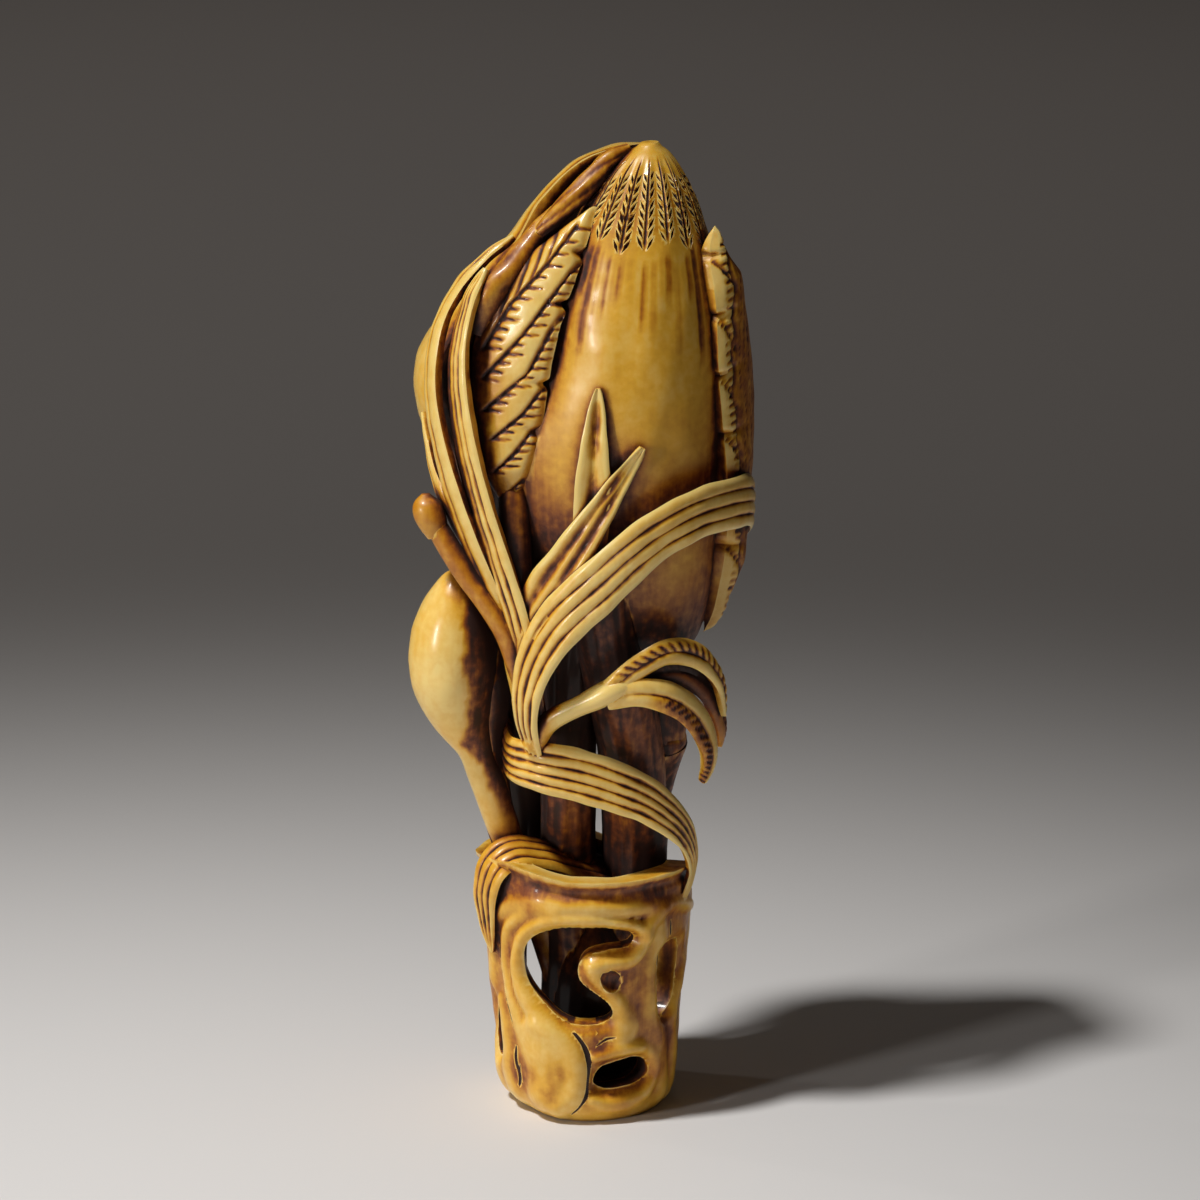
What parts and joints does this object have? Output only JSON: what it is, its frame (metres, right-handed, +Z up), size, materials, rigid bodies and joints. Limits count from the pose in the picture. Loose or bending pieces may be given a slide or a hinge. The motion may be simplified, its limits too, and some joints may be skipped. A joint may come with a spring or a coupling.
{
  "type": "netsuke",
  "caption": "Tall openwork netsuke carved as a bouquet of a large bud, leaves and grass blades standing in a gnarled root vase; the cord passes through the openings.",
  "frame": {"origin": "on the plane of the foot, under the middle of the bounding box", "axes": "+Z up from the foot to the tip of the bud, -Y to the front, where the strap, the broad blade and the large opening are, +X to the right seen from the front"},
  "size_m": [0.0256, 0.0192, 0.074],
  "materials": {
    "ivory": "polished honey-coloured ivory with a dark brown stain left in the cuts and worn off the high spots"
  },
  "bodies": {
    "root": {"netsuke": "ivory"}
  },
  "joints": []
}
